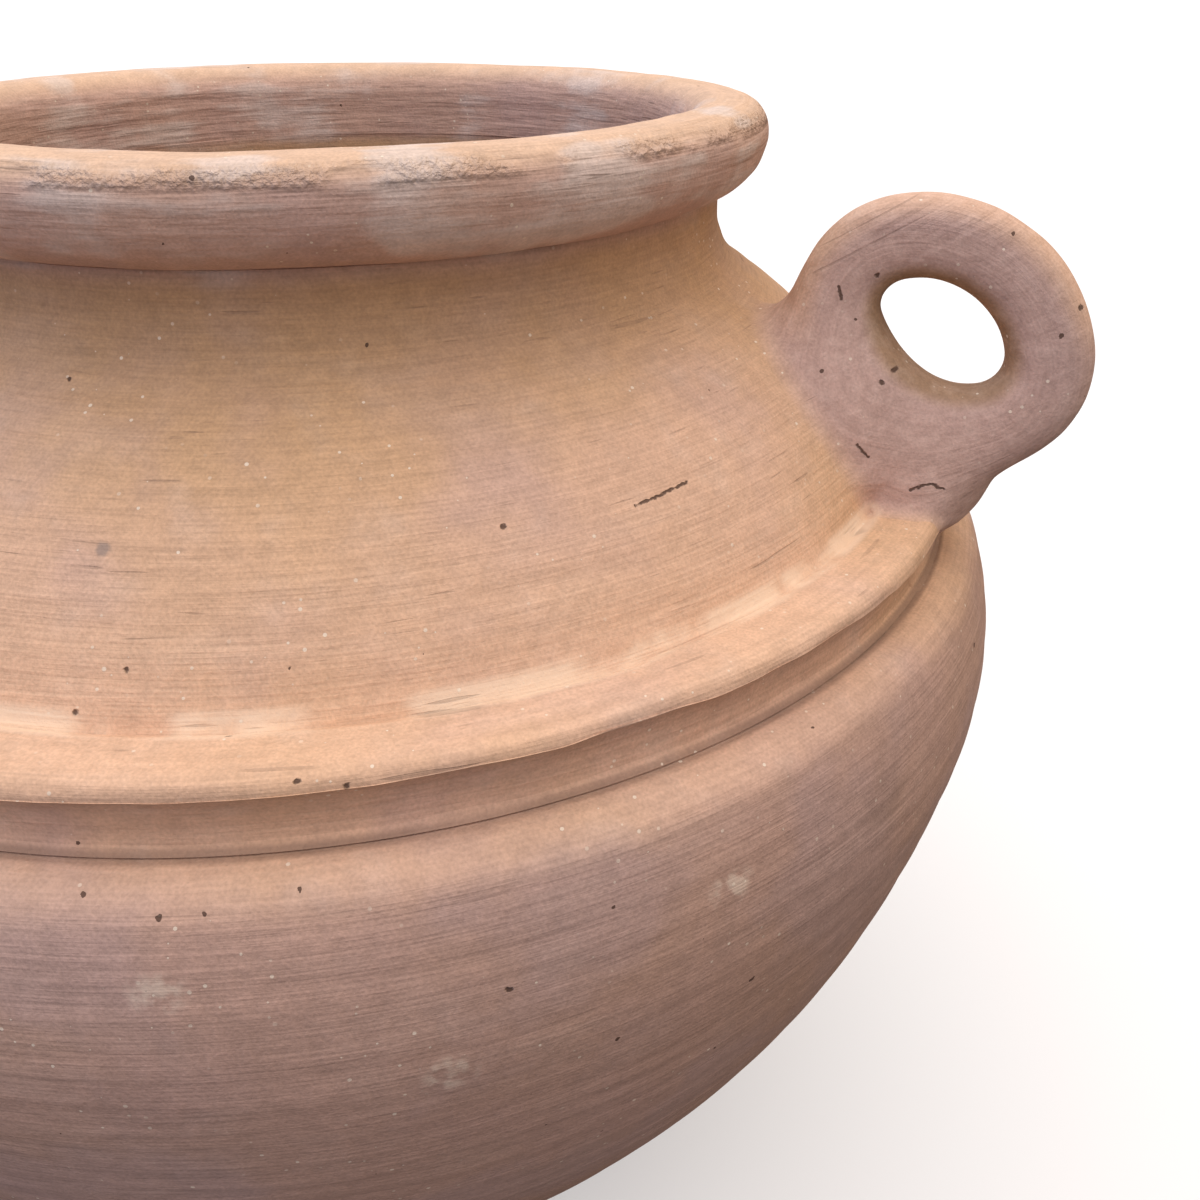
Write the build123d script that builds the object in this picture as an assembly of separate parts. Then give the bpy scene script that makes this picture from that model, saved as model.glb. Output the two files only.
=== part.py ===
from build123d import *
from math import asin, atan2, cos, degrees, hypot, radians, sin, sqrt
import os

# Terracotta floor urn, hand built from clay sections that are luted together, with two ring handles.
# Origin at the centre of the foot, +Z up, handles on +X and -X, millimetres.

# Vessel wall
wall = 15.0                  # thickness of every thrown section
tongue_rise = 4.0            # how far the tongue of a seam stands into the section above
drain_radius = 12.0          # drain hole through the base slab

# Base slab and lower bowl
slab_thickness = 16.0
bowl_height = 127.0          # outer edge of the seam between lower bowl and belly section
base_coil_leg = 22.0         # leg of the coil pressed into the inside corner at the base
coil_hollow = 0.3            # share of the way to its corner that a pressed coil's face is drawn in

# Belly section
belly_radius = 250.0         # widest radius of the body
foot_inset = 140.0           # from the widest radius in to the foot's edge
belly_rise = 125.5           # from the bowl's seam up to the widest line
flank_round = 345.0          # profile radius from the bowl's seam up towards the belly
belly_round = 106.0          # profile radius at the widest line
brow_round = 16.0            # small round where the belly turns in under the cordon
flank_turn = 13.0            # degrees of belly round below the widest line
brow_turn = 18.0             # degrees of belly round above the widest line
joint_coil_upper_leg = 26.0  # leg, up the shoulder, of the coil pressed inside the belly joint
joint_coil_lower_leg = 20.0  # its leg down the belly

# Shoulder section, and the cordon laid over its joint
crease_inset = 40.4          # from the widest radius in to the cordon's inner edge, on the shoulder
crease_rise = 64.3           # from the widest line up to that edge
cordon_inset = 17.0          # from the widest radius in to the cordon's outermost line
cordon_edge_drop = 5.3       # from the crease down to the outermost line
cordon_top_rise = 1.7        # from the crease up to the cordon's flat top
cordon_lip = 3.4             # width of the cordon's sloped inner lip
cordon_flat = 13.5           # width of its flat top
cordon_undercut = 3.2        # depth of the hollow under its edge

# Neck collar
shoulder_reach = 66.1        # from the crease in to the upright neck
neck_rise = 84.2             # from the crease up to where the neck is upright
neck_fillet = 26.0           # hollow round from the neck into the shoulder
neck_length = 10.0           # upright length of the neck, up to the rim's seat
shoulder_top_slope = 33.0    # degrees below the horizontal where the shoulder starts

# Rim roll
rim_thickness = 32.0         # height of the roll above its seat on the neck collar
rim_overhang = 17.5          # how far the roll stands out from the neck
rim_seat_width = 3.0         # flat underside of the roll outside the neck
rim_outer_round = 12.0
rim_inner_round = 14.0

# Ring handles
coil_radius = 14.2           # clay coil that a ring is bent from
ring_long = 36.9             # half length of the ring's centre line
ring_short = 29.3            # half width of the ring's centre line
ring_end_round = 24.0        # centre line radius at the two ends of the oval
ring_slope = 34.0            # degrees that the oval's long side drops outwards
ring_seat_run = 48.5         # way down the shoulder from the neck seam to the ring's seat
coil_press = 2.5             # how deep the coil is pressed against the shoulder
right_twist, right_lean = 5.0, 7.2     # degrees that the hand-set rings turn and tip
left_twist, left_lean = -3.0, -4.0

# Luting clay at each handle
saddle_run = 54.0            # way down the shoulder from the neck seam to the saddle's middle
saddle_half_length = 41.0
saddle_half_width = 22.0
wad_half_width = 17.0
wad_inset = 5.0              # from the cordon's outermost line in to the wad's middle
wad_lap = 9.0                # how far the wad climbs the coil above its underside
wad_drop = 10.0              # how far the wad hangs below the cordon's outermost line


def point(radius, height):
    return Vector(radius, 0, height)


def heading(angle):
    """Unit direction in the profile plane, in degrees above the outward horizontal."""
    return point(cos(radians(angle)), sin(radians(angle)))


def angle_about(centre, target):
    """Degrees above the outward horizontal of a target seen from a centre."""
    return degrees(atan2(target.Z - centre.Z, target.X - centre.X))


def left_of(run):
    """Direction to the left of a run: inwards, where the run climbs the profile."""
    return point(-run.Z, run.X)


def round_edge(centre, radius, start, end):
    """Arc about a centre, from one angle to another."""
    return ThreePointArc(*[centre + radius * heading(a) for a in (start, (start + end) / 2, end)])


def arriving(start, end, direction):
    """Arc from start to end that arrives in a direction."""
    back = TangentArc(end, start, tangent=-direction)
    return ThreePointArc(start, back.position_at(0.5), end)


def stretch(edge, start, end):
    """Part of an arc between two shares of its length."""
    return ThreePointArc(*[edge.position_at(s) for s in (start, (start + end) / 2, end)])


def inset(edge, depth=wall):
    """Edge at an even depth to the left of a climbing edge: its inner face."""
    return ThreePointArc(*[edge.position_at(s) + depth * left_of(edge.tangent_at(s)) for s in (0, 0.5, 1)])


def seam(outer, inner):
    """Seam across the wall, whose middle stands up as a tongue."""
    across = inner - outer
    tip = (outer + inner) / 2 - tongue_rise * left_of(across).normalized()
    return [Line(outer, tip), Line(tip, inner)]


def hollowed(start, end, corner, depth):
    """Concave edge from start to end, drawn in towards a corner by a depth."""
    middle = (start + end) / 2
    return ThreePointArc(start, middle + depth * (corner - middle).normalized(), end)


def pressed(start, end, corner):
    """Concave face of a coil that is pressed into a corner."""
    middle = (start + end) / 2
    return hollowed(start, end, corner, coil_hollow * (corner - middle).length)


def turned(edges):
    """Solid that a closed outline sweeps about the urn's axis."""
    return revolve(make_face(edges), Axis.Z, 360)


# Radii and heights that follow from the sizes above
foot_radius = belly_radius - foot_inset
belly_height = bowl_height + belly_rise
crease_radius = belly_radius - crease_inset
crease_height = belly_height + crease_rise
cordon_radius = belly_radius - cordon_inset
cordon_edge_height = crease_height - cordon_edge_drop
neck_radius = crease_radius - shoulder_reach
neck_fillet_height = crease_height + neck_rise
rim_radius = neck_radius + rim_overhang
rim_seat_height = neck_fillet_height + neck_length
overall_height = rim_seat_height + rim_thickness

# Profile of the body, every edge climbing from the foot to the lip
foot = point(foot_radius, 0)
belly_centre = point(belly_radius - belly_round, belly_height)
flank_centre = belly_centre - (flank_round - belly_round) * heading(-flank_turn)
brow_centre = belly_centre + (belly_round - brow_round) * heading(brow_turn)
bowl_seam_angle = -degrees(asin((flank_centre.Z - bowl_height) / flank_round))
flank_edge = round_edge(flank_centre, flank_round, bowl_seam_angle, -flank_turn)
belly_edge = round_edge(belly_centre, belly_round, -flank_turn, brow_turn)
brow_edge = round_edge(brow_centre, brow_round, brow_turn, 90)
bowl_seam_point = flank_edge.position_at(0)
bowl_edge = arriving(foot, bowl_seam_point, flank_edge.tangent_at(0))
groove = brow_edge.position_at(1)
crease = point(crease_radius, crease_height)
skirt_run = (crease - groove).normalized()
fillet_centre = point(neck_radius + neck_fillet, neck_fillet_height)
neck_seam_angle = -90 - shoulder_top_slope
neck_seam_point = fillet_centre + neck_fillet * heading(neck_seam_angle)
shoulder_edge = arriving(crease, neck_seam_point, -heading(-shoulder_top_slope))
fillet_edge = round_edge(fillet_centre, neck_fillet, neck_seam_angle, -180)
neck_top = point(neck_radius, rim_seat_height)

# Inner points of the wall
bowl_inner = inset(bowl_edge)
shoulder_inner = inset(shoulder_edge)
fillet_inner = inset(fillet_edge)
groove_inner = groove + wall * left_of(skirt_run)
mouth_radius = neck_radius - wall
mouth_foot = point(mouth_radius, rim_seat_height)


def belly_corner():
    """Inside corner of the belly: where the skirt's inner face runs down to the belly's inner round."""
    offset = groove_inner - belly_centre
    along = -offset.dot(skirt_run)
    reach = sqrt(along**2 - offset.dot(offset) + (belly_round - wall) ** 2)
    return groove_inner + (along - reach) * skirt_run


corner = belly_corner()
belly_inner = round_edge(belly_centre, belly_round - wall, -flank_turn, angle_about(belly_centre, corner))
flank_inner = inset(flank_edge)


def base_slab():
    """Disc with a bevelled edge that the bowl's wall stands on, and a drain hole."""
    bevel = (bowl_inner.position_at(0) - foot).normalized()
    bevel_top = foot + slab_thickness / bevel.Z * bevel
    hole_top = point(drain_radius, slab_thickness)
    corners = [point(drain_radius, 0), foot, bevel_top, hole_top, point(drain_radius, 0)]
    return turned(Polyline(*corners).edges()), bevel_top


def lower_bowl():
    end = Line(bowl_inner.position_at(0), foot)
    return turned([bowl_edge, *seam(bowl_seam_point, bowl_inner.position_at(1)), bowl_inner, end])


def base_coil(bevel_top):
    """Coil pressed into the inside corner between bowl wall and slab."""
    low = bowl_inner.position_at(0)
    wall_side = stretch(bowl_inner, 0, base_coil_leg / bowl_inner.length)
    high = wall_side.position_at(1)
    floor_end = bevel_top - point(base_coil_leg, 0)
    face = pressed(high, floor_end, bevel_top)
    return turned([wall_side, face, Line(floor_end, bevel_top), Line(bevel_top, low)])


def belly_section():
    outer = [flank_edge, belly_edge, brow_edge]
    inner = [Line(groove_inner, corner), belly_inner, flank_inner]
    foot_seam = seam(bowl_seam_point, bowl_inner.position_at(1))
    return turned([*outer, *seam(groove, groove_inner), *inner, *foot_seam])


def joint_coil():
    """Coil pressed over the inside of the joint between belly and shoulder."""
    high = corner + joint_coil_upper_leg * skirt_run
    arc_share = joint_coil_lower_leg / belly_inner.length
    belly_side = stretch(belly_inner, 1 - arc_share, 1)
    low = belly_side.position_at(0)
    face = pressed(low, high, corner)
    return turned([belly_side, face, Line(high, corner)])


def shoulder_section():
    inner_end = shoulder_inner.position_at(0)
    outer = [Line(groove, crease), shoulder_edge]
    inner = [shoulder_inner, Line(inner_end, groove_inner)]
    return turned([*outer, *seam(neck_seam_point, fillet_inner.position_at(0)), *inner,
                   *seam(groove, groove_inner)])


def cordon_edges():
    """Outer edges of the applied band, from the groove up to the crease."""
    edge = point(cordon_radius, cordon_edge_height)
    flat_in = crease + point(cordon_lip, cordon_top_rise)
    flat_out = flat_in + point(cordon_flat, 0)
    hollow = hollowed(groove, edge, crease, cordon_undercut)
    shoulder_round = TangentArc(flat_out, edge, tangent=point(1, 0))
    return [hollow, shoulder_round, Line(flat_out, flat_in), Line(flat_in, crease)]


def cordon():
    return turned([*cordon_edges(), Line(crease, groove)])


def neck_collar():
    outer = [fillet_edge, Line(fillet_edge.position_at(1), neck_top)]
    inner = [Line(mouth_foot, fillet_inner.position_at(1)), fillet_inner]
    foot_seam = seam(neck_seam_point, fillet_inner.position_at(0))
    return turned([*outer, *seam(neck_top, mouth_foot), *inner, *foot_seam])


def rim_edges():
    """Outer edges of the roll, from its seat on the neck to the flat of the lip."""
    seat_end = neck_top + point(rim_seat_width, 0)
    face_top = point(rim_radius, overall_height - rim_outer_round)
    underside = arriving(seat_end, face_top, point(0, 1))
    outer_centre = face_top - point(rim_outer_round, 0)
    return [Line(neck_top, seat_end), underside, round_edge(outer_centre, rim_outer_round, 0, 90)]


def rim_roll():
    inner_centre = point(mouth_radius + rim_inner_round, overall_height - rim_inner_round)
    inner_round = round_edge(inner_centre, rim_inner_round, 90, 180)
    outer = rim_edges()
    flat = Line(outer[-1].position_at(1), inner_round.position_at(0))
    bore = Line(inner_round.position_at(1), mouth_foot)
    return turned([*outer, flat, inner_round, bore, *seam(neck_top, mouth_foot)])


def envelope():
    """The urn without handles and filled solid, that the luted clay is fitted against."""
    lip = point(rim_radius - rim_outer_round, overall_height)
    axis_top = point(0, overall_height)
    climb = [bowl_edge, flank_edge, belly_edge, brow_edge, *cordon_edges(), shoulder_edge, fillet_edge]
    top = [Line(fillet_edge.position_at(1), neck_top), *rim_edges(), Line(lip, axis_top)]
    return turned([*climb, *top, Line(axis_top, point(0, 0)), Line(point(0, 0), foot)])


def shoulder_share(run):
    """Share of the shoulder's edge that lies above the crease, at a way down from the neck seam."""
    return 1 - run / shoulder_edge.length


def ring_centre():
    """Middle of a ring that is pressed on the shoulder at its seat, standing square to the surface."""
    share = shoulder_share(ring_seat_run)
    outward = -left_of(shoulder_edge.tangent_at(share))
    long_way = heading(-ring_slope)
    reach = hypot(ring_long * long_way.dot(outward), ring_short * left_of(long_way).dot(outward))
    return shoulder_edge.position_at(share) + (reach + coil_radius - coil_press) * outward


def ring_coil():
    """Round coil along an oval of four arcs, its long side on X, standing in the profile plane."""
    end_shift = ring_long - ring_end_round
    side_round = (ring_long**2 + ring_short**2 - 2 * ring_long * ring_end_round) / (
        2 * (ring_short - ring_end_round))
    side_shift = side_round - ring_short
    turn = degrees(atan2(side_shift, end_shift))
    path = Wire([
        round_edge(point(end_shift, 0), ring_end_round, -turn, turn),
        round_edge(point(0, -side_shift), side_round, turn, 180 - turn),
        round_edge(point(-end_shift, 0), ring_end_round, 180 - turn, 180 + turn),
        round_edge(point(0, side_shift), side_round, 180 + turn, 360 - turn),
    ])
    return sweep((path ^ 0) * Circle(coil_radius), path=path)


def spheroid(half_length, half_width):
    """Solid of revolution of a half ellipse, long way on X."""
    bow = EllipticalCenterArc((0, 0), half_length, half_width, arc_size=180)
    return revolve(make_face([bow, Line((-half_length, 0), (half_length, 0))]), Axis.X, 360)


def set_ring(twist, lean):
    turn = Rot(0, 0, twist) * Rot(-lean, 0, 0) * Rot(0, ring_slope, 0)
    return Pos(ring_centre()) * turn * ring_coil()


def luting_saddle():
    """Clay that beds the ring along the shoulder."""
    share = shoulder_share(saddle_run)
    fall = -angle_about(Vector(), -shoulder_edge.tangent_at(share))
    return Pos(shoulder_edge.position_at(share)) * Rot(0, fall, 0) * spheroid(saddle_half_length, saddle_half_width)


def cordon_wad():
    """Clay that ties the ring's underside to the cordon's edge."""
    slope = radians(ring_slope)
    underside = ring_centre().Z - hypot(ring_long * sin(slope), ring_short * cos(slope)) - coil_radius
    top = underside + wad_lap
    bottom = cordon_edge_height - wad_drop
    middle = point(cordon_radius - wad_inset, (top + bottom) / 2)
    return Pos(middle) * Rot(0, 90, 0) * spheroid((top - bottom) / 2, wad_half_width)


def handle_pieces(twist, lean, azimuth):
    """Ring, saddle and wad of one handle, each fitted face to face against what it is pressed on."""
    body = envelope()
    ring = set_ring(twist, lean) - body
    saddle = luting_saddle() - body - ring
    wad = cordon_wad() - body - ring - saddle
    return [Rot(0, 0, azimuth) * piece for piece in (ring, saddle, wad)]


def main():
    slab, bevel_top = base_slab()
    nodes = {
        "base_slab": slab,
        "base_fillet_coil": base_coil(bevel_top),
        "lower_bowl": lower_bowl(),
        "belly_section": belly_section(),
        "inner_joint_coil": joint_coil(),
        "shoulder_section": shoulder_section(),
        "cordon_band": cordon(),
        "neck_collar": neck_collar(),
        "rim_roll": rim_roll(),
    }
    sides = {"right": (right_twist, right_lean, 0), "left": (left_twist, left_lean, 180)}
    for side, placing in sides.items():
        ring, saddle, wad = handle_pieces(*placing)
        nodes[f"handle_ring_{side}"] = ring
        nodes[f"luting_saddle_{side}"] = saddle
        nodes[f"cordon_wad_{side}"] = wad
    os.makedirs("parts", exist_ok=True)
    for name, solid in nodes.items():
        export_step(solid, f"parts/{name}.step")
        box = solid.bounding_box()
        print(name, len(solid.solids()), round(solid.volume), tuple(round(v, 1) for v in box.size))


main()
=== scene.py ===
import bpy
import numpy as np
from math import pi, radians
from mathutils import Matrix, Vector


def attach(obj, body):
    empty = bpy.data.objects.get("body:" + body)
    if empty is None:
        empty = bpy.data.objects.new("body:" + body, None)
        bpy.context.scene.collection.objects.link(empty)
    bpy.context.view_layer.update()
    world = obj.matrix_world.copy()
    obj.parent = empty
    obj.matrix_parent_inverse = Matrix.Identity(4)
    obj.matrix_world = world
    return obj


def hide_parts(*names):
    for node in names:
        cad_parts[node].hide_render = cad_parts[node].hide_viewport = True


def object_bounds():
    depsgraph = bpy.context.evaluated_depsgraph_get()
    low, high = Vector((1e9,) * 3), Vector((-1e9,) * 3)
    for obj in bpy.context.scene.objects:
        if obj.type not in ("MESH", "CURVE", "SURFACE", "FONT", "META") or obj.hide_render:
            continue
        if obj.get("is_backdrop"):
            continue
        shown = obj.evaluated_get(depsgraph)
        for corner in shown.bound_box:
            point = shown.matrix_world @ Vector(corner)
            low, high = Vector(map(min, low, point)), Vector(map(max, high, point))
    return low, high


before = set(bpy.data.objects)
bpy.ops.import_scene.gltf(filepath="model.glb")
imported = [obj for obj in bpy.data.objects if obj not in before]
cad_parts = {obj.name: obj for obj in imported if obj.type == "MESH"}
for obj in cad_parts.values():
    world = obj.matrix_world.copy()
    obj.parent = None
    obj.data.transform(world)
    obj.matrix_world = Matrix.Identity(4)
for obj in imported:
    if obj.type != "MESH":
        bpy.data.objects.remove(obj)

cad_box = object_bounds()


# Camera
# The picture was taken from a little above the rim, close to the pot, with the right handle at the edge of
# the frame. Place, turn and lens are those that the rim, cordon and belly outlines in the picture agree on.

camera_data = bpy.data.cameras.new("camera")
camera_data.lens = 36.0
camera_data.sensor_width = 36.0
camera_data.shift_x = -0.0390
camera_data.shift_y = -0.1436
camera_data.clip_start = 0.01
camera = bpy.data.objects.new("camera", camera_data)
bpy.context.scene.collection.objects.link(camera)
camera.location = (0.24547, -0.39283, 0.48581)
camera.rotation_euler = (radians(68.8758), radians(-0.1130), radians(17.5361))
bpy.context.scene.camera = camera
bpy.context.scene.view_settings.view_transform = "Standard"


# Rim roll
# A fat coil of clay rolled outwards over the neck and dragged smooth with a wet hand as the pot turns. Its
# outer face keeps the drag lines and a pale bloom; its underside sits on the neck in a tight crease.

def bow(start, through, end, step=1.0):
    """Points on the arc from start through a point to end. Profile points are radius + height * i, in mm.

    With w = (through - start) / (end - start), the centre is
    start + (end - start) * (w - |w|^2) / (2i Im w).
    """
    w = (through - start) / (end - start)
    centre = start + (end - start) * (w - abs(w) ** 2) / (2j * w.imag)
    turn = np.angle((end - centre) / (start - centre))
    n = max(2, int(round(abs(turn) * abs(start - centre) / step)))
    return centre + (start - centre) * np.exp(1j * turn * np.linspace(0, 1, n + 1))


def run(start, end, step=1.0):
    """Points on a straight stretch of the profile."""
    n = max(1, int(round(abs(end - start) / step)))
    return start + (end - start) * np.linspace(0, 1, n + 1)


def face(*stretches):
    """Stretches of one shown face of the wall, end to end."""
    return np.concatenate([s[:-1] for s in stretches[:-1]] + [stretches[-1]])


def grain(p, size, seed=0):
    """Smooth random field from -1 to 1 with lumps of about a size, at points p in mm.

    Random values on the corners of a cube lattice, blended along each axis by t^2 (3 - 2t).
    """
    q = np.asarray(p) / size + 37.3 * seed
    cell = np.floor(q).astype(np.int64)
    t = q - cell
    t = t * t * (3 - 2 * t)
    total = np.zeros(q.shape[:-1])
    for corner in np.ndindex(2, 2, 2):
        k = (cell + corner).astype(np.uint64)
        h = k * np.array([73856093, 19349663, 83492791], np.uint64)
        h = h[..., 0] ^ h[..., 1] ^ h[..., 2]
        h = (h ^ (h >> np.uint64(13))) * np.uint64(1274126177 + 2 * seed)
        value = ((h >> np.uint64(16)) & np.uint64(65535)).astype(float) / 32767.5 - 1
        total += value * np.prod(np.where(corner, t, 1 - t), axis=-1)
    return total


def hand(p, angle):
    """Height in mm of the hand-worked wall over its true circle at points p: from -3.3 to +0.1.

    Slight ovalness, lumps of 90, 40 and 14 mm, and a throwing spiral that climbs 13 mm a turn.
    """
    oval = 0.35 * np.cos(2 * angle + 0.6) + 0.25 * np.cos(3 * angle - 1.0)
    lumps = 0.55 * grain(p, 90, 1) + 0.35 * grain(p, 40, 2) + 0.10 * grain(p, 14, 3)
    flat = p * (0.02, 0.02, 0.12)
    spiral = 0.12 * np.sin(2 * pi * p[..., 2] / 13 + angle + 2.5 * grain(flat, 1, 4))
    return oval + lumps + spiral - 1.6


def turned(name, faces, tips, columns, press=hand):
    """Closed piece turned from a profile: its shown faces in order, each followed by a hidden tip.

    Every point of a face moves along the face's own normal, -i * tangent, by what press gives there.
    """
    angle = np.linspace(0, 2 * pi, columns, endpoint=False)
    rows = []
    for shown, tip in zip(faces, tips):
        tangent = np.gradient(shown)
        normal = -1j * tangent / np.abs(tangent)
        p = np.stack([shown.real[:, None] * np.cos(angle), shown.real[:, None] * np.sin(angle),
                      np.repeat(shown.imag[:, None], columns, 1)], -1)
        rows.append(shown[:, None] + normal[:, None] * press(p, angle))
        rows.append(np.full((1, columns), tip))
    profile = np.concatenate(rows)
    co = np.stack([profile.real * np.cos(angle), profile.real * np.sin(angle), profile.imag], -1) / 1000
    n = len(profile)
    here = np.arange(n * columns).reshape(n, columns)
    beside = np.roll(here, -1, 1)
    quads = np.stack([here, beside, np.roll(beside, -1, 0), np.roll(here, -1, 0)], -1)
    return piece(name, co.reshape(-1, 3), quads.reshape(-1, 4))


def piece(name, co, quads):
    """Mesh object from points in metres and quads, smooth except at real corners, riding on the pot."""
    mesh = bpy.data.meshes.new(name)
    mesh.vertices.add(len(co))
    mesh.vertices.foreach_set("co", np.asarray(co, np.float32).ravel())
    mesh.loops.add(quads.size)
    mesh.loops.foreach_set("vertex_index", quads.astype(np.int32).ravel())
    mesh.polygons.add(len(quads))
    mesh.polygons.foreach_set("loop_start", np.arange(0, quads.size, 4, dtype=np.int32))
    mesh.polygons.foreach_set("use_smooth", np.ones(len(quads), bool))
    mesh.update(calc_edges=True)
    mesh.validate()
    mesh.set_sharp_from_angle(angle=radians(42))
    made = bpy.data.objects.new(name, mesh)
    bpy.context.scene.collection.objects.link(made)
    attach(made, "root")
    return made


def rim_press(p, angle):
    """The rim keeps the pot's ovalness and is lumpier: dents of 30 and 9 mm where the hand stopped."""
    return hand(p, angle) * 0.6 - 0.35 + 0.35 * grain(p, 30, 5) + 0.12 * grain(p * (1, 1, 2), 9, 6)


neck_edge, seat_edge, rim_widest = 143.5 + 411j, 146.5 + 411j, 161 + 431j
crown_outside, crown_inside = 149 + 443j, 142.5 + 443j
mouth_edge, mouth_foot = 128.5 + 429j, 128.5 + 411j
rim_tongue = 136 + 415j
rim_underside = bow(seat_edge, 156.99 + 418.65j, rim_widest)
rim_face = face(run(neck_edge, seat_edge), rim_underside,
                bow(rim_widest, 157.49 + 439.49j, crown_outside), run(crown_outside, crown_inside),
                bow(crown_inside, 132.6 + 438.9j, mouth_edge), run(mouth_edge, mouth_foot))
rim = turned("rolled_rim", [rim_face], [rim_tongue], columns=800, press=rim_press)
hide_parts("rim_roll")


class Nodes:
    """Short hand for a node tree: each call adds one node, fills its inputs and gives one output socket."""

    def __init__(self, tree):
        self.tree = tree

    def __call__(self, kind, inputs=(), out=0, **settings):
        made = self.tree.nodes.new("ShaderNode" + kind)
        for key, value in settings.items():
            setattr(made, key, value)
        for key, value in (inputs.items() if isinstance(inputs, dict) else enumerate(inputs)):
            if isinstance(value, bpy.types.NodeSocket):
                self.tree.links.new(value, made.inputs[key])
            else:
                made.inputs[key].default_value = value
        return None if out is None else made.outputs[out]

    def math(self, operation, *inputs):
        return self("Math", inputs, operation=operation)

    def total(self, start, *terms):
        """start + the sum of value * weight over the terms."""
        for value, weight in terms:
            start = self("Math", (value, weight, start), operation="MULTIPLY_ADD")
        return start

    def join(self, x, y, z):
        return self("CombineXYZ", (x, y, z))

    def ramp(self, value, low, high, start=0.0, end=1.0):
        """Smooth step from start at low to end at high."""
        return self("MapRange", (value, low, high, start, end), interpolation_type="SMOOTHSTEP")

    def noise(self, place, size, detail=2.0):
        return self("TexNoise", {"Vector": place, "Scale": 1 / size, "Detail": detail})

    def lines(self, around, turns, climb, gap, detail=3.0):
        """Noise drawn out along a turning pot: long round it, short up it, with lines a gap in mm apart."""
        drawn = self("VectorMath", {0: around, "Scale": turns}, operation="SCALE")
        inputs = {"Vector": drawn, "W": self.math("DIVIDE", climb, gap), "Scale": 1.0, "Detail": detail}
        return self("TexNoise", inputs, noise_dimensions="4D")

    def spots(self, place, cell, radius, share):
        """Round spots of a radius in mm, about one a cell, and only in a share of the cells."""
        distance = self("TexVoronoi", {"Vector": place, "Scale": 1 / cell})
        value = self("TexVoronoi", {"Vector": place, "Scale": 1 / cell}, out="Color")
        chance = self("SeparateColor", (value,))
        size = self.ramp(chance, 1 - share, 1.0, 0.0, radius / cell)
        return self.math("LESS_THAN", distance, size)

    def near(self, place, spots, radius):
        """1 at the nearest of some places and 0 from a radius on."""
        gaps = [self("VectorMath", (place, spot), out=1, operation="DISTANCE") for spot in spots]
        least = gaps[0]
        for gap in gaps[1:]:
            least = self.math("MINIMUM", least, gap)
        return self.ramp(least, radius, radius * 0.4)

    def line(self, place, start, end, width):
        """1 on a straight line between two places and 0 from a width on."""
        span = np.subtract(end, start)
        off = self("VectorMath", (place, start), operation="SUBTRACT")
        dot = self("VectorMath", (off, span / span.dot(span)), out=1, operation="DOT_PRODUCT")
        share = self("Math", (dot, 1.0), operation="MULTIPLY", use_clamp=True)
        along = self("VectorMath", {0: span, "Scale": share}, operation="SCALE")
        gap = self("VectorMath", (off, along), out=1, operation="DISTANCE")
        return self.ramp(gap, width, width * 0.3)

    def mix(self, share, a, b, blend="MIX"):
        return self("Mix", {0: share, 6: a, 7: b}, out=2, data_type="RGBA", blend_type=blend)


def charted(places):
    """Places on the wall by the side they face and how far up the slope they are, however deep they lie."""
    x, y, z = np.transpose(places)
    r = np.hypot(x, y)
    return [tuple(place) for place in np.transpose([200 * x / r, 200 * y / r, z - 0.6 * r])]


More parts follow.
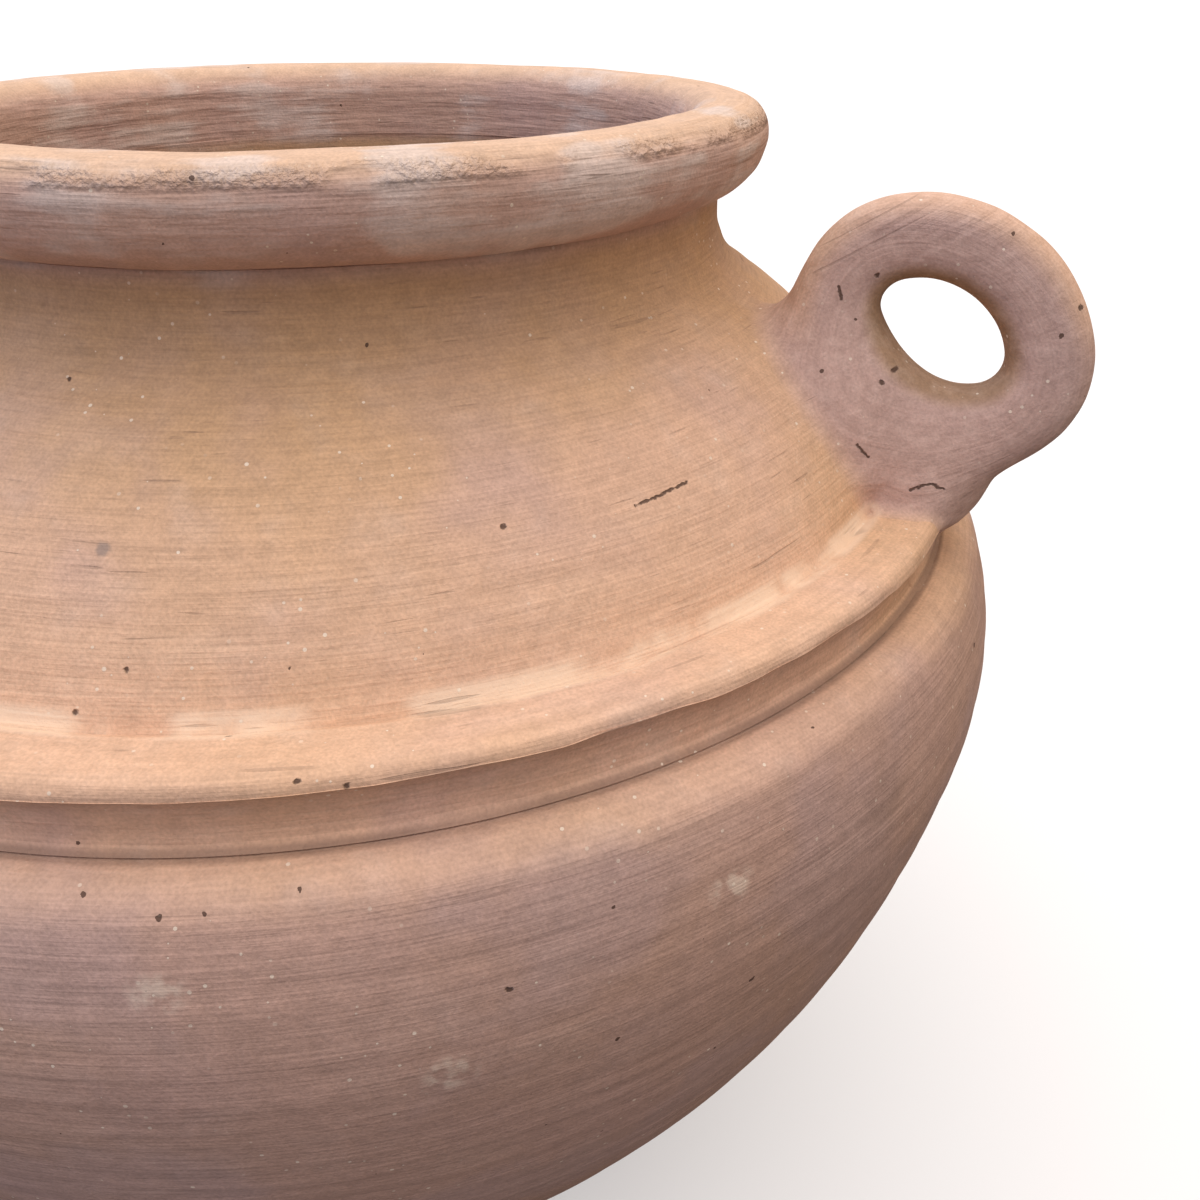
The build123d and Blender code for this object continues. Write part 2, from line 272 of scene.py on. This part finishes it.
def clay(name, handle=False):
    """Fired clay, laid out on the pot's own millimetres so that it runs on from piece to piece.

    Colour: peach with large ochre and mauve clouds, brush lines, a pale bloom that is strongest on the rim,
    cream specks of crushed pot, dark pits and the marks of this pot, and painted light and shade: shade under
    the rim, shade with dust below the cordon, shade in the handle's hole, and light on the rim's top, the
    lower shoulder, the crease ridge and the ring's outer edge. Relief: the same lines, specks and pits.
    """
    peach, ochre, mauve = (0.66, 0.43, 0.305, 1), (0.62, 0.395, 0.235, 1), (0.54, 0.37, 0.325, 1)
    chalk, cream, soot = (0.70, 0.60, 0.54, 1), (0.86, 0.76, 0.62, 1), (0.16, 0.10, 0.075, 1)
    rim_top_painted_light, rim_shade_umber, painted_light_sand = (0.70, 0.49, 0.33, 1), (0.44, 0.27, 0.135, 1), (0.77, 0.50, 0.315, 1)
    dust_and_shade_plum, ash, hole_painted_shade = (0.46, 0.30, 0.25, 1), (0.47, 0.335, 0.315, 1), (0.36, 0.23, 0.14, 1)
    scraped_pale_and_highlight, pit_black, grey = (0.86, 0.67, 0.50, 1), (0.09, 0.05, 0.035, 1), (0.22, 0.19, 0.18, 1)
    made = bpy.data.materials.new(name)
    made.use_nodes = True
    add = Nodes(made.node_tree)
    place = add("VectorMath", {0: add("TexCoord", out="Object"), "Scale": 1000.0}, operation="SCALE")
    x, y, z = (add("SeparateXYZ", (place,), out=i) for i in range(3))
    r = add("VectorMath", (add.join(x, y, 0.0),), out=1, operation="LENGTH")
    around = add.join(add.math("DIVIDE", x, r), add.math("DIVIDE", y, r), 0.0)
    climb = add.total(z, (r, -0.6))
    section = add.join(r, z, 0.0)
    shake = add("TexNoise", {"Vector": place, "Scale": 0.5, "Detail": 3.0}, out="Color")
    shake = add("VectorMath", {0: shake, 1: (2, 2, 2), 2: (-1, -1, -1)}, operation="MULTIPLY_ADD")
    shaken = add("VectorMath", (place, shake), operation="ADD")
    chart = {0: around, 1: (200.0, 200.0, 200.0), 2: add.join(0.0, 0.0, climb)}
    chart = add("VectorMath", chart, operation="MULTIPLY_ADD")
    chart = add("VectorMath", (chart, shake), operation="ADD")
    brush = add.lines(around, 6.0, climb, 1.1)
    drag = add.lines(around, 3.0, climb, 4.5)
    fine = add.noise(place, 0.9, 3.0)
    mid = add.noise(place, 5.0, 4.0)
    on_rim = add.ramp(z, 404.0, 413.0)

    colour = add.mix(add.ramp(add.noise(place, 120, 2.0), 0.38, 0.64), peach, ochre)
    colour = add.mix(add.ramp(add.noise(place, 46, 3.0), 0.44, 0.74, 0.0, 0.6), colour, mauve)
    colour = add.mix(add.ramp(add.noise(place, 15, 4.0), 0.5, 0.8, 0.0, 0.16), colour, chalk)
    colour = add.mix(add.math("MULTIPLY", on_rim, 0.65), colour, mauve)
    # Painted light: the rim's top, z 433 to 441 mm, made paler and warmer honey where it faces up.
    colour = add.mix(add.ramp(z, 433.0, 441.0, 0.0, 0.75), colour, rim_top_painted_light)
    # Painted shade: the neck and upper shoulder under the overhanging rim, z 350 to 412 mm, darkened towards
    # umber.
    under_rim_painted_shade = add.math("MULTIPLY", add.ramp(z, 350.0, 392.0), add.ramp(z, 412.0, 404.0))
    colour = add.mix(add.math("MULTIPLY", under_rim_painted_shade, 0.6), colour, rim_shade_umber)
    # Painted light: the lower shoulder, z 309 to 365 mm, made paler sand where it faces up.
    lower_shoulder_painted_light = add.math("MULTIPLY", add.ramp(z, 309.0, 318.0), add.ramp(z, 365.0, 330.0))
    colour = add.mix(add.math("MULTIPLY", lower_shoulder_painted_light, 0.4), colour, painted_light_sand)
    # Darker plum from just under the cordon down, full below about 288 mm: painted shade under the cordon's
    # edge, with dust on the clay.
    below = add.ramp(add.total(z, (add.noise(place, 40, 3.0), 12.0)), 305.0, 288.0)
    colour = add.mix(add.math("MULTIPLY", below, 0.75), colour, dust_and_shade_plum)
    cloud = add.math("MULTIPLY", below, add.ramp(add.noise(place, 62, 3.0), 0.46, 0.62, 0.0, 0.45))
    colour = add.mix(cloud, colour, ash)
    chalky = add.ramp(add.total(0.0, (add.noise(place, 34, 3.0), 0.65), (drag, 0.35)), 0.5, 0.62)
    colour = add.mix(add.math("MULTIPLY", chalky, add.total(0.04, (on_rim, 0.6))), colour, chalk)
    if handle:
        lay = add("Attribute", attribute_name="lay", out="Vector")
        lay = [add("SeparateXYZ", (lay,), out=i) for i in range(3)]
        own = add("Attribute", attribute_name="own_clay", out="Fac")
        out = add.math("MULTIPLY", lay[2], 1000.0)
        # Painted light on the ring: its outer top edge paler peach where it faces up, its sides left mauve.
        outer = add.math("MULTIPLY", add.ramp(out, 3.0, 12.0), add.ramp(z, 366.0, 388.0))
        ring_tone_lit_and_shaded = add.mix(outer, mauve, peach)
        # Painted shade: the inside wall of the ring's hole, darkened towards brown.
        ring_tone_lit_and_shaded = add.mix(add.ramp(out, -7.0, -12.5), ring_tone_lit_and_shaded, hole_painted_shade)
        ring_tone_lit_and_shaded = add.mix(add.ramp(mid, 0.4, 0.7, 0.0, 0.12), ring_tone_lit_and_shaded, chalk)
        colour = add.mix(add.math("MULTIPLY", own, 0.85), colour, ring_tone_lit_and_shaded)
        ring_lines = add.lines(add.join(lay[0], lay[1], 0.0), 1.6, add.total(out, (y, 0.8)), 1.2)
        brush = add.total(brush, (add.math("SUBTRACT", ring_lines, brush), own))
    colour = add.mix(1.0, colour, add.ramp(brush, 0.25, 0.75, 0.92, 1.07), "MULTIPLY")
    colour = add.mix(1.0, colour, add.ramp(mid, 0.25, 0.75, 0.93, 1.06), "MULTIPLY")
    colour = add.mix(1.0, colour, add.ramp(fine, 0.2, 0.8, 0.88, 1.1), "MULTIPLY")

    crease_ring, seat_ring, groove_ring, torn_ring = (
        (209.6, 316.4, 0), (144.0, 411.0, 0), (229.0, 296.2, 0), (158.5, 439.5, 0))
    # Pale line along the cordon's crease, also raised in the relief: scraped clay, partly a painted highlight
    # on the ridge.
    ridge = add.near(section, [crease_ring], 5.5)
    ridge = add.math("MULTIPLY", ridge, add.ramp(add.noise(place, 24.0, 3.0), 0.33, 0.55))
    colour = add.mix(add.math("MULTIPLY", ridge, 0.8), colour, scraped_pale_and_highlight)
    seat = add.near(section, [seat_ring], 2.2)
    creases = add.math("MAXIMUM", seat, add.near(section, [groove_ring], 2.6))
    colour = add.mix(add.math("MULTIPLY", creases, 0.55), colour, soot)
    clusters = add.ramp(add.noise(place, 26, 2.0), 0.42, 0.6)
    specks = add.math("MULTIPLY", add.spots(place, 3.4, 0.55, 0.8), clusters)
    colour = add.mix(add.math("MULTIPLY", specks, 0.75), colour, cream)

    pit_places = [(7, -151, 383), (43, -204, 320), (115, -202, 314), (105, -206, 316), (151, -198, 262),
                  (127, -138, 351), (53, -196, 329), (246, -28, 274)]
    crack_places = [(154, -110, 348.5), (158, -104, 349), (164, -93.5, 350)]
    smudge_place, stain_place = (39, -182, 352), (227, -103, 263)
    smear_places = [(82, -234, 274), (194, -155, 267), (139, -207, 241)]
    pits = add.math("MAXIMUM", add.spots(shaken, 9.0, 0.8, 0.3), add.near(chart, charted(pit_places), 1.0))
    first, turn, last = charted(crack_places)
    cracks = add.math("MAXIMUM", add.line(chart, first, turn, 0.7), add.line(chart, turn, last, 0.7))
    if handle:
        flat_shake = add("VectorMath", (shake, (1, 0, 1)), operation="MULTIPLY")
        front = add("VectorMath", (add.join(x, 0.0, z), flat_shake), operation="ADD")
        root = [(220, 0, 326), (224, 0, 328), (227, 0, 328), (230.5, 0, 326.5)]
        short_cracks = [((191, 0, 389), (192, 0, 385)), ((202, 0, 341), (206, 0, 337))]
        closing_seam = [(202.6, 0, 393), (207.6, 0, 360), (211, 0, 363.3), (265.6, 0, 385.6)]
        opened = add.near(front, closing_seam, 1.1)
        for start, end in list(zip(root[:-1], root[1:])) + short_cracks:
            opened = add.math("MAXIMUM", opened, add.line(front, start, end, 0.6))
        cracks = add.math("MAXIMUM", cracks, add.math("MULTIPLY", opened, add.math("LESS_THAN", y, 0.0)))
    scratch = add.ramp(add.lines(around, 8.0, climb, 1.6, 1.0), 0.66, 0.72)
    scratch = add.math("MULTIPLY", scratch, add.ramp(add.noise(place, 28, 2.0), 0.48, 0.6))
    scratch = add.math("MULTIPLY", scratch, add.ramp(z, 298.0, 312.0))
    colour = add.mix(add.math("MULTIPLY", scratch, 0.3), colour, soot)
    pits = add.math("MAXIMUM", pits, cracks)
    colour = add.mix(add.math("MULTIPLY", pits, 0.9), colour, pit_black)
    smudge = add.near(chart, charted([smudge_place]), 2.8)
    colour = add.mix(add.math("MULTIPLY", smudge, 0.6), colour, grey)
    smears = add.near(chart, charted(smear_places), 7.0)
    smears = add.math("MULTIPLY", smears, add.ramp(mid, 0.42, 0.6))
    colour = add.mix(add.math("MULTIPLY", smears, 0.4), colour, cream)
    stain = add.near(chart, charted([stain_place]), 13.0)
    colour = add.mix(add.math("MULTIPLY", stain, 0.22), colour, soot)

    torn = add.near(section, [torn_ring], 6.0)
    torn = add.math("MULTIPLY", torn, add.ramp(add.noise(place, 30, 2.0), 0.42, 0.54))
    rim_drag = add.math("MULTIPLY", on_rim, drag)
    torn_clay = add.math("MULTIPLY", torn, add.noise(place, 2.2, 4.0))
    height = add.total(0.0, (brush, 0.28), (drag, 0.40), (rim_drag, 1.2), (fine, 0.16), (mid, 0.42),
                       (scratch, -0.12), (specks, 0.06), (pits, -0.5), (ridge, 0.3), (torn_clay, 2.6))
    bump = add("Bump", {"Strength": 1.0, "Distance": 0.001, "Height": height}, out="Normal")
    shader = made.node_tree.nodes["Principled BSDF"]
    made.node_tree.links.new(colour, shader.inputs["Base Color"])
    made.node_tree.links.new(bump, shader.inputs["Normal"])
    made.node_tree.links.new(add.ramp(mid, 0.3, 0.7, 0.82, 0.95), shader.inputs["Roughness"])
    shader.inputs["Specular IOR Level"].default_value = 0.28
    return made


def wear(made, material):
    """Gives a piece its material and its colour slot."""
    made.data.materials.append(material)


body_clay = clay("body_clay")
wear(rim, body_clay)


# Neck collar
# Short upright neck, drawn in from the shoulder with a concave sweep. A soft step shows where it was joined.

def join_press(p, angle):
    """The pot's own hand work, and the join of neck and shoulder: 0.4 mm proud, fading in 9 mm up, 3 down."""
    above = p[..., 2] - join_height
    return hand(p, angle) + 0.4 * np.exp(-np.abs(above) / np.where(above > 0, 9, 3))


join_height = 379.2
neck_seam, neck_seam_inside, neck_tongue = 155.34 + 379.19j, 147.17 + 366.61j, 147.9 + 375.08j
sweep_top, sweep_top_inside = 143.5 + 401j, 128.5 + 401j
neck_outside = face(bow(neck_seam, 146.65 + 388.59j, sweep_top), run(sweep_top, neck_edge))
neck_inside = face(run(mouth_foot, sweep_top_inside),
                   bow(sweep_top_inside, 133.47 + 381.44j, neck_seam_inside, 2))
neck = turned("neck", [neck_outside, neck_inside], [rim_tongue, neck_tongue], columns=560, press=join_press)
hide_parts("neck_collar")
wear(neck, body_clay)


# Shoulder section
# Convex dome from the neck down to the cordon, brushed with a wet rib while the pot turned.

groove, groove_inside, groove_tongue = 229.6 + 296.31j, 218.86 + 285.83j, 221.43 + 293.94j
crease, crease_inside = 209.6 + 316.8j, 196.01 + 310.46j
dome_middle = 186.85 + 351.81j
shoulder_outside = face(run(groove, crease, 3), bow(crease, dome_middle, neck_seam, 1.5))
shoulder_inside = face(bow(neck_seam_inside, 175.53 + 341.96j, crease_inside, 4),
                       run(crease_inside, groove_inside, 4))
shoulder = turned("shoulder", [shoulder_outside, shoulder_inside], [neck_tongue, groove_tongue],
                  columns=560, press=join_press)
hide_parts("shoulder_section")
wear(shoulder, body_clay)


# Cordon
# A flat strap of clay laid over the joint of shoulder and belly, smoothed down by hand, so its edge wavers.

def cordon_press(p, angle):
    """The pot's own hand work, plus the strap's wavering: dents of 26 and 9 mm, deepest near the handles."""
    near = np.exp(-((np.abs(np.abs(np.cos(angle))) - 0.82) / 0.2) ** 2)
    waver = 0.5 * grain(p, 26, 7) + 0.25 * grain(p, 9, 8)
    return hand(p, angle) + (0.5 + 1.1 * near) * (waver - 0.35)


under_middle, cordon_edge = 228.29 + 304.58j, 233 + 311.5j
lip_middle, lip_top, bevel_top = 231.28 + 316.42j, 226.5 + 318.5j, 213 + 318.5j
sunk_foot, sunk_crease, cordon_core = 229.0 + 295.5j, 209.0 + 316.5j, 212 + 308j
cordon_face = face(bow(sunk_foot, under_middle, cordon_edge), bow(cordon_edge, lip_middle, lip_top),
                   run(lip_top, bevel_top), run(bevel_top, sunk_crease))
cordon = turned("cordon", [cordon_face], [cordon_core], columns=900, press=cordon_press)
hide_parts("cordon_band")
wear(cordon, body_clay)


# Belly section
# The widest part of the pot, thrown in one piece, with a sharp brow that turns in under the cordon.

bowl_seam, bowl_seam_inside, bowl_tongue = 205.9 + 127j, 193.08 + 134.79j, 201.57 + 134.31j
flank_top, flank_top_inside = 247.28 + 228.66j, 232.67 + 232.03j
belly_middle, brow_foot, brow_middle = 249.9 + 257.12j, 244.81 + 285.26j, 239 + 293.26j
brow_inside = 233.03 + 271.31j
belly_outside = face(bow(bowl_seam, 230.66 + 176.17j, flank_top, 1.8),
                     bow(flank_top, belly_middle, brow_foot, 1.8), bow(brow_foot, brow_middle, groove))
belly_inside = face(run(groove_inside, brow_inside, 5),
                    bow(brow_inside, 235 + 251.65j, flank_top_inside, 5),
                    bow(flank_top_inside, 216.77 + 181.83j, bowl_seam_inside, 5))
belly = turned("belly", [belly_outside, belly_inside], [groove_tongue, bowl_tongue], columns=560)
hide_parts("belly_section")
wear(belly, body_clay)


# Lower bowl
# The first wall section, raised from the base and left to stiffen before the belly was set on it.

foot_edge, bowl_foot = 107.6 + 2.22j, 112.2 + 2.55j
slab_seam_inside, slab_tongue = 99 + 10.19j, 103.5 + 6.02j
bowl_outside = face(bow(foot_edge, 109.4 + 1.0j, bowl_foot, 0.8),
                    bow(bowl_foot, 161.14 + 61.09j, bowl_seam, 2.5))
bowl_inside = bow(bowl_seam_inside, 149.17 + 70.13j, slab_seam_inside, 5)
bowl = turned("lower_bowl_wall", [bowl_outside, bowl_inside], [bowl_tongue, slab_tongue], columns=480)
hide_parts("lower_bowl")
wear(bowl, body_clay)


# Base and inner coils
# A slab with a drain hole cut through it, and two soft coils pressed with a thumb into the inside corners.

slab_edge, slab_corner, slab_bevel = 105.5 + 0j, 107.85 + 1.99j, 92.73 + 16j
drain_foot, drain_top = 14 + 0j, 14 + 16j
drain_low, drain_high = 12 + 2j, 12 + 14j
slab_outside = face(run(drain_foot, slab_edge, 4), bow(slab_edge, 107.1 + 0.55j, slab_corner, 0.6))
slab_inside = face(run(slab_corner, slab_seam_inside, 3), run(slab_seam_inside, slab_bevel, 3),
                   run(slab_bevel, drain_top, 4))
drain_wall = face(bow(drain_top, 12.6 + 15.4j, drain_high, 0.6), run(drain_high, drain_low, 2),
                  bow(drain_low, 12.6 + 0.6j, 13.9 + 0j, 0.6))


def slab_press(p, angle):
    """The slab's own unevenness: lumps of 20 mm, up to 0.5 mm in."""
    return 0.25 * grain(p, 20, 9) - 0.25


slab = turned("base", [face(slab_outside, slab_inside, drain_wall)], [13.95 + 0j],
              columns=240, press=slab_press)
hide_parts("base_slab")
wear(slab, body_clay)


def thumbed(spacing):
    """Press of a thumb every so many mm along a coil, 1.2 mm deep."""
    def press(p, angle):
        radius = np.hypot(p[..., 0], p[..., 1]).mean()
        thumb = np.abs(np.sin(angle * radius * pi / spacing + grain(p, 40, 11)))
        return 1.2 * (thumb - 1) + 0.4 * grain(p, 12, 12)
    return press


thumb_spacing = 24
base_coil_face = bow(113.71 + 26.54j, 93.0 + 19.6j, 70.73 + 16j, 2)
base_coil = turned("base_corner_coil", [base_coil_face], [99 + 10.5j],
                   columns=400, press=thumbed(thumb_spacing))
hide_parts("base_fillet_coil")
wear(base_coil, body_clay)
joint_coil_face = bow(234.9 + 251.45j, 227.3 + 270.9j, 214.98 + 289.8j, 2)
joint_coil = turned("belly_joint_coil", [joint_coil_face], [233.5 + 271.5j],
                    columns=600, press=thumbed(thumb_spacing))
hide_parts("inner_joint_coil")
wear(joint_coil, body_clay)


# Handles
# Each ring is a coil bent into an oval and stood on the shoulder. Soft clay is smeared along both sides of
# its foot, and a wad ties its underside to the cordon, so ring, bed and wad run together and fade out on
# the wall.

belly_line = face(bow(flank_top, belly_middle, brow_foot), bow(brow_foot, brow_middle, groove, 0.5))
cordon_line = face(bow(groove, under_middle, cordon_edge, 0.5), bow(cordon_edge, lip_middle, lip_top, 0.5),
                   run(lip_top, bevel_top), run(bevel_top, crease))
shoulder_line = bow(crease, dome_middle, neck_seam)
wall_line = face(belly_line, cordon_line, shoulder_line, neck_outside, rim_underside)
table_low, table_high, table_step = 135 + 280j, 300 + 445j, 0.5


def wall_table(low, high):
    """Distance to the wall's outer line on a grid of radius and height, negative inside.

    The sign is that of the way off the nearest point of the line along the line's outward normal there.
    """
    r = np.arange(low.real, high.real, table_step)
    z = np.arange(low.imag, high.imag, table_step)
    q = (r[:, None] + 1j * z[None, :]).ravel()
    normal = np.gradient(wall_line)
    normal = -1j * normal / np.abs(normal)
    signed = np.zeros(len(q))
    for part in np.array_split(np.arange(len(q)), 20):
        off = q[part, None] - wall_line[None, :]
        near = np.abs(off).argmin(1)
        off = off[np.arange(len(part)), near]
        signed[part] = np.abs(off) * np.sign((off * np.conj(normal[near])).real + 1e-9)
    return signed.reshape(len(r), len(z))


wall_grid = wall_table(table_low, table_high)
cordon_low, cordon_high, cordon_inner = 295, 321, 205


def wall(p):
    """Distance from points p to the pot's real wall: the table, read between its points, less the hand work.

    Between cordon_low and cordon_high the hand work is the cordon's own, and it changes over in 3 to 4 mm.
    """
    r = np.hypot(p[..., 0], p[..., 1])
    i = np.clip((r - table_low.real) / table_step, 0, wall_grid.shape[0] - 2)
    j = np.clip((p[..., 2] - table_low.imag) / table_step, 0, wall_grid.shape[1] - 2)
    a, b = i.astype(int), j.astype(int)
    s, t = i - a, j - b
    flat = (wall_grid[a, b] * (1 - s) * (1 - t) + wall_grid[a + 1, b] * s * (1 - t)
            + wall_grid[a, b + 1] * (1 - s) * t + wall_grid[a + 1, b + 1] * s * t)
    angle = np.arctan2(p[..., 1], p[..., 0])
    on_cordon = np.clip((p[..., 2] - cordon_low) / 3, 0, 1) * np.clip((cordon_high - p[..., 2]) / 3, 0, 1)
    on_cordon = on_cordon * np.clip((r - cordon_inner) / 4, 0, 1)
    return flat - hand(p, angle) * (1 - on_cordon) - cordon_press(p, angle) * on_cordon


def melt(a, b, reach):
    """Two fields joined with a fillet: the lesser, less reach / 4 * h^2, with h = 1 - |a - b| / reach."""
    h = np.maximum(1 - np.abs(a - b) / reach, 0)
    return np.minimum(a, b) - reach / 4 * h * h


def egg(p, centre, radii, fall):
    """Near distance to an egg-shaped lump whose long axis falls outwards by an angle."""
    q = p - centre
    along = q[..., 0] * np.cos(fall) - q[..., 2] * np.sin(fall)
    above = q[..., 0] * np.sin(fall) + q[..., 2] * np.cos(fall)
    u = np.stack([along, q[..., 1], above], -1)
    k0 = np.linalg.norm(u / radii, axis=-1)
    return k0 * (k0 - 1) / np.maximum(np.linalg.norm(u / np.square(radii), axis=-1), 1e-6)


ring_centre, ring_slope = (223.77, 0, 372.72), 34
end_shift, end_round = 12.9, 24.0
side_shift, side_round = 13.05, 42.35
coil_round, coil_square = 13.75, 2.7
bed_place, bed_radii, bed_fall = (197, 0, 345), (38, 27, 16), 52
wad_place, wad_radii, wad_fall = (222, 0, 318.5), (15, 18, 17), 90


def ring_frame(p, twist, lean):
    """Points in the ring's own frame: x along the oval, z across it, y through the hole."""
    t, l, s = radians(twist), radians(-lean), radians(ring_slope)
    turn = (np.array([[np.cos(t), -np.sin(t), 0], [np.sin(t), np.cos(t), 0], [0, 0, 1]])
            @ np.array([[1, 0, 0], [0, np.cos(l), -np.sin(l)], [0, np.sin(l), np.cos(l)]])
            @ np.array([[np.cos(s), 0, np.sin(s)], [0, 1, 0], [-np.sin(s), 0, np.cos(s)]]))
    return (p - ring_centre) @ turn


def oval_offset(q):
    """How far points lie outside the oval line of four arcs, measured in its plane.

    The end arcs are centred end_shift along the oval, and each side arc side_shift across it on the far side.
    """
    u, v = np.abs(q[..., 0]), np.abs(q[..., 2])
    on_end = v * end_shift < (u - end_shift) * side_shift
    return np.where(on_end, np.hypot(u - end_shift, v) - end_round, np.hypot(u, v + side_shift) - side_round)


def added_clay(p, twist, lean):
    """Field of ring, bed and wad melted together. The ring's section is |a|^s + |b|^s = coil_round^s."""
    q, s = ring_frame(p, twist, lean), coil_square
    ring = (np.abs(oval_offset(q)) ** s + np.abs(q[..., 1]) ** s) ** (1 / s) - coil_round
    bed = egg(p, bed_place, bed_radii, radians(bed_fall))
    wad = egg(p, wad_place, wad_radii, radians(wad_fall))
    return melt(melt(ring, bed, 18), wad, 25)


def handle_field(p, twist, lean):
    """Field of the handle melted onto the wall, with a fillet of 8 mm at the cordon and 17 mm above it.

    Its edge sinks 0.06 mm into the wall, and more from 12 mm out. It ends 4 mm inside the wall and 22 mm out.
    """
    alone = added_clay(p, twist, lean)
    pot = wall(p)
    reach = 8 + 9 * np.clip((p[..., 2] - 316) / 12, 0, 1)
    sunk = pot + 0.06 + 0.02 * np.maximum(alone - 12, 0)
    joined = melt(alone, sunk, reach)
    close = np.abs(joined) < 4
    joined[close] += 0.45 * grain(p[close], 28, 21) + 0.18 * grain(p[close], 9, 22) * (alone[close] < 6)
    return np.maximum(np.maximum(joined, -(pot + 4)), alone - 22)


def skin(field, low, step):
    """Points and quads of the surface where a field on a cube lattice is zero, inside where it is negative.

    Each lattice cell that the surface crosses gets one point, the mean of the crossings on its edges, and
    each lattice edge that it crosses gets the quad that joins the four cells round it.
    """
    cells = tuple(n - 1 for n in field.shape)
    total = np.zeros((np.prod(cells), 4))
    quads = []
    for axis in range(3):
        rest = [a for a in range(3) if a != axis]
        f = np.moveaxis(field, axis, 0)
        crossed = (f[:-1] < 0) != (f[1:] < 0)
        crossed[:, [0, -1]] = crossed[:, :, [0, -1]] = False
        i, j, k = np.nonzero(crossed)
        before, after = f[i, j, k], f[i + 1, j, k]
        at = np.ones((len(i), 4))
        at[:, axis], at[:, rest[0]], at[:, rest[1]] = i + before / (before - after), j, k
        ring = []
        for dj, dk in ((1, 1), (0, 1), (0, 0), (1, 0)):
            index = [None] * 3
            index[axis], index[rest[0]], index[rest[1]] = i, j - dj, k - dk
            flat = np.ravel_multi_index(index, cells)
            np.add.at(total, flat, at)
            ring.append(flat)
        ring = np.stack(ring, -1)
        flip = (before < 0) == (axis == 1)
        ring[flip] = ring[flip][:, ::-1]
        quads.append(ring)
    used = np.flatnonzero(total[:, 3])
    number = np.zeros(len(total), int)
    number[used] = np.arange(len(used))
    return low + step * total[used, :3] / total[used, 3:], number[np.concatenate(quads)]


handle_low, handle_high = np.array([150.0, -46.0, 294.0]), np.array([276, 46, 430])


def handle(side, twist, lean, half_turn):
    step = 1.0
    axes = [np.arange(low, high, step) for low, high in zip(handle_low, handle_high)]
    p = np.stack(np.meshgrid(*axes, indexing="ij"), -1)
    flip = np.array([-1, -1, 1]) if half_turn else np.array([1, 1, 1])
    points, quads = skin(handle_field(p, twist, lean), handle_low, step)
    made = piece("handle_" + side, points * flip / 1000, quads)
    q = ring_frame(points, twist, lean)
    round_hole = q[:, ::2] / np.linalg.norm(q[:, ::2], axis=1)[:, None]
    lay = np.concatenate([round_hole, oval_offset(q)[:, None] / 1000], 1)
    lay_store = made.data.attributes.new("lay", "FLOAT_VECTOR", "POINT")
    lay_store.data.foreach_set("vector", lay.astype(np.float32).ravel())
    own = np.clip(1 - (added_clay(points, twist, lean) - 2) / 7, 0, 1)
    own_store = made.data.attributes.new("own_clay", "FLOAT", "POINT")
    own_store.data.foreach_set("value", own.astype(np.float32))
    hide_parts(*(n + side for n in ("handle_ring_", "luting_saddle_", "cordon_wad_")))
    wear(made, handle_clay)


handle_clay = clay("handle_clay", handle=True)
handle("right", twist=5.0, lean=7.2, half_turn=False)
handle("left", twist=-3.0, lean=-4.0, half_turn=True)


# Floor and light
# A plain pale floor, and light as under an overcast sky: far brighter overhead than at the horizon, cool on
# the left and warm on the right. The camera sees a paler floor than the pot does, so little light comes
# back up.

floor_reach = 30
floor_corners = [(x * floor_reach, y * floor_reach, 0) for x, y in ((-1, -1), (1, -1), (1, 1), (-1, 1))]
floor_mesh = bpy.data.meshes.new("floor")
floor_mesh.from_pydata(floor_corners, [], [(0, 1, 2, 3)])
floor = bpy.data.objects.new("floor", floor_mesh)
bpy.context.scene.collection.objects.link(floor)
floor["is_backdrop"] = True

floor_paint = bpy.data.materials.new("floor_paint")
floor_paint.use_nodes = True
floor_paint.node_tree.nodes.clear()
add = Nodes(floor_paint.node_tree)
white, pale_grey, dark_grey = (1, 1, 1, 1), (0.55, 0.55, 0.55, 1), (0.12, 0.11, 0.10, 1)
glow = add("Emission", (white, 0.38))
seen = add("AddShader", (add("BsdfDiffuse", (pale_grey,)), glow))
lit_by = add("BsdfDiffuse", (dark_grey,))
by_eye = add("LightPath", out="Is Camera Ray")
add("OutputMaterial", (add("MixShader", (by_eye, lit_by, seen)),), out=None)
floor.data.materials.append(floor_paint)

world = bpy.data.worlds.new("sky")
bpy.context.scene.world = world
world.use_nodes = True
world.node_tree.nodes.clear()
add = Nodes(world.node_tree)
toward = add("TexCoord", out="Generated")
x, y, z = (add("SeparateXYZ", (toward,), out=i) for i in range(3))
height = add("Math", (z, 0.0), operation="MAXIMUM", use_clamp=True)
warm_side = add.ramp(add.total(0.0, (x, 0.9), (y, 0.45)), -0.6, 0.7)
cool, warm, overhead = (0.86, 0.94, 1.42, 1), (1.10, 0.78, 0.56, 1), (1.04, 0.99, 0.93, 1)
horizon = add.mix(warm_side, cool, warm)
colour = add.mix(height, horizon, overhead)
squared = add.math("MULTIPLY", height, height)
sky = add("Background", (colour, add.total(0.30, (height, 1.05), (squared, 0.80))))
backdrop = add("Background", (white, 1.0))
by_eye = add("LightPath", out="Is Camera Ray")
add("OutputWorld", (add("MixShader", (by_eye, sky, backdrop)),), out=None)

now_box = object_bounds()
"[" + ", ".join(str([[float(v) for v in c] for c in b]) for b in (cad_box, now_box)) + "]"
